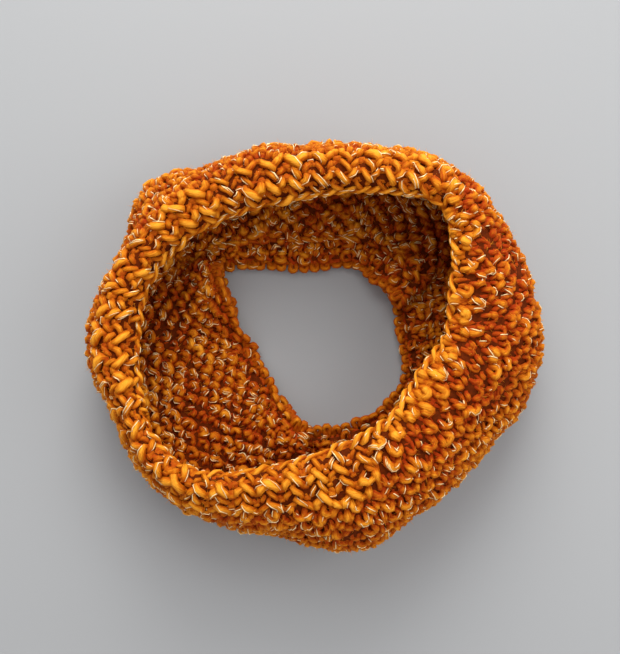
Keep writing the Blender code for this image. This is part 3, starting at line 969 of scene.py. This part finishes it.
class SCARF_OT_gold_thread(bpy.types.Operator):
    """Runs the gold thread along the yarn of every row and both edges"""
    bl_idname = "scarf.gold_thread"
    bl_label = "Run the gold thread"

    def execute(self, context):
        plan = context.scene.scarf_knit.plan()
        gold = context.scene.scarf_colours.thread()
        rows = knitted_rows(plan)
        rib, half = plan.rib_rows, len(rows.points) // 2
        # For each stretch, the share of places along its yarn where the thread comes out.
        stretches = (
            ("rib_rows", picked(rows, 0, rib), "yarn_rib", 0.37),
            ("outer_rows", picked(rows, rib, half), "yarn_moss", 0.22),
            ("inner_rows", picked(rows, half), "yarn_moss", 0.48),
            ("cast_on", cast_on_rope(plan), "yarn_cast_on", 0.16),
            ("bound_off", bound_off_loops(plan), "yarn_bound_off", 0.18))
        for seed, (name, strands, slot, share) in enumerate(stretches, THREAD_SEED):
            glints = thread_glints(strands, plan, share, seed)
            piece = strand_tubes(
                f"gold_thread_{name}", glints, THREAD_SIDES, gold, closed=False, tufted=0)
        return {"FINISHED"}


class SCARF_OT_loose_fibres(bpy.types.Operator):
    """Raises the halo of short fibres round the yarn"""
    bl_idname = "scarf.loose_fibres"
    bl_label = "Raise the loose fibres"

    def execute(self, context):
        root, tip, across, out = loose_fibres(context.scene.scarf_knit.plan())
        half = across * FIBRE_WIDTH / 2
        # Each fibre is a closed spike with a three-cornered root.
        corners = np.stack([root - half, root + half, root - out * FIBRE_WIDTH, tip], 1)
        spike = np.array([[0, 1, 3], [1, 2, 3], [2, 0, 3], [0, 2, 1]])
        faces = np.arange(len(root))[:, None, None] * 4 + spike
        # The fibres take the yarn's painted light, as yarn that stands out FIBRE_LIFT far.
        tone = np.zeros(len(root) * 4)
        yarn = context.scene.scarf_colours.yarn()
        piece = mesh_piece("loose_fibres", corners, [faces.reshape(-1, 3)], np.zeros(0),
                           tone, tone + FIBRE_LIFT, yarn)
        return {"FINISHED"}


class SCARF_OT_gap_shade_sheet(bpy.types.Operator):
    # Lays a dark sheet along the cloth's middle surface, seen through the gaps between strands
    # as painted shade.
    bl_idname = "scarf.felted_ground"
    bl_label = "Fill the felted ground"

    def execute(self, context):
        cloth = cloth_of(context.scene.scarf_knit.plan())
        i, k = GAP_SHADE_STEPS
        points, proud = cloth.points[::i, ::k], cloth.normal[::i, ::k] * GAP_SHADE_HALF
        ring = np.concatenate([points + proud, (points - proud)[:, ::-1]], 1)
        ring = above_ground(ring, 0.3 * MM)
        columns, size = ring.shape[:2]
        i, k = np.indices((columns, size))
        uv = np.stack([i, k, i, k + 1, i + 1, k + 1, i + 1, k], -1) / size
        felt = material_once(
            "felted_wool_fibres", gap_shade_material, context.scene.scarf_colours.felt)
        flat = np.zeros(columns * size)
        faces = [tube_quads(1, columns, size)]
        piece = mesh_piece("felted_ground", ring, faces, uv, flat, flat, felt)
        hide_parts("moss_body", "rib_band")
        return {"FINISHED"}


def aimed(name, data, place, way):
    """Puts a lamp or the camera in its place, looking along a way."""
    item = bpy.data.objects.new(name, data)
    item.location = place
    item.rotation_euler = way.to_track_quat("-Z", "Y").to_euler()
    bpy.context.scene.collection.objects.link(item)
    return item


class SCARF_OT_stage(bpy.types.Operator):
    """Sets the board, the soft light and the camera"""
    bl_idname = "scarf.stage"
    bl_label = "Set the stage"

    def execute(self, context):
        scene = context.scene
        bpy.ops.mesh.primitive_plane_add(size=BOARD_SIZE, location=(0, 0, 0))
        board = context.object
        board.name = "board"
        board.data.materials.append(
            material_once("matt_painted_board", matt_board, scene.scarf_colours.board))

        world = bpy.data.worlds.new("soft_daylight")
        world.use_nodes = True
        tree = world.node_tree
        tree.nodes.clear()
        sky = add_node(tree, "Background", {
            "Color": linear(SKY_COLOUR), "Strength": SKY_STRENGTH})
        add_node(tree, "OutputWorld", {"Surface": sky})
        scene.world = world

        for name, place, size, power in LAMPS:
            lamp = bpy.data.lights.new(name, "AREA")
            lamp.shape, lamp.size, lamp.energy = "DISK", size, power
            aimed(name, lamp, place, -Vector(place))

        camera = bpy.data.cameras.new("camera")
        camera.lens, camera.sensor_width = LENS, SENSOR
        camera.clip_start, camera.clip_end = 0.01, 20.0
        tilt = radians(CAMERA_TILT)
        look = Vector((0, cos(tilt), -sin(tilt)))
        scene.camera = aimed("camera", camera, CAMERA_AIM - look * CAMERA_DISTANCE, look)
        scene.view_settings.view_transform = "Standard"
        return {"FINISHED"}


class SCARF_PT_panel(bpy.types.Panel):
    """Lists the steps of the scarf and its sizes"""
    bl_label = "Infinity scarf"
    bl_idname = "SCARF_PT_panel"
    bl_space_type = "VIEW_3D"
    bl_region_type = "UI"
    bl_category = "Scarf"

    def draw(self, context):
        layout = self.layout
        for group in (context.scene.scarf_knit, context.scene.scarf_colours):
            for name in group.__annotations__:
                layout.prop(group, name)
        for step in STEPS:
            layout.operator(step.bl_idname)


STEPS = (SCARF_OT_rows, SCARF_OT_edges, SCARF_OT_gold_thread, SCARF_OT_loose_fibres,
         SCARF_OT_gap_shade_sheet, SCARF_OT_stage)
CLASSES = (ScarfKnit, ScarfColours, *STEPS, SCARF_PT_panel)


def register():
    """Registers the classes and adds their settings to the scene."""
    for item in CLASSES:
        bpy.utils.register_class(item)
    bpy.types.Scene.scarf_knit = PointerProperty(type=ScarfKnit)
    bpy.types.Scene.scarf_colours = PointerProperty(type=ScarfColours)


def unregister():
    """Takes back what register did."""
    del bpy.types.Scene.scarf_colours
    del bpy.types.Scene.scarf_knit
    for item in reversed(CLASSES):
        bpy.utils.unregister_class(item)


def main():
    """Makes every piece in order."""
    register()
    bpy.ops.object.select_all(action="DESELECT")
    bpy.ops.scarf.rows()
    bpy.ops.scarf.edges()
    bpy.ops.scarf.gold_thread()
    bpy.ops.scarf.loose_fibres()
    bpy.ops.scarf.felted_ground()
    bpy.ops.scarf.stage()


if __name__ == "__main__":
    main()
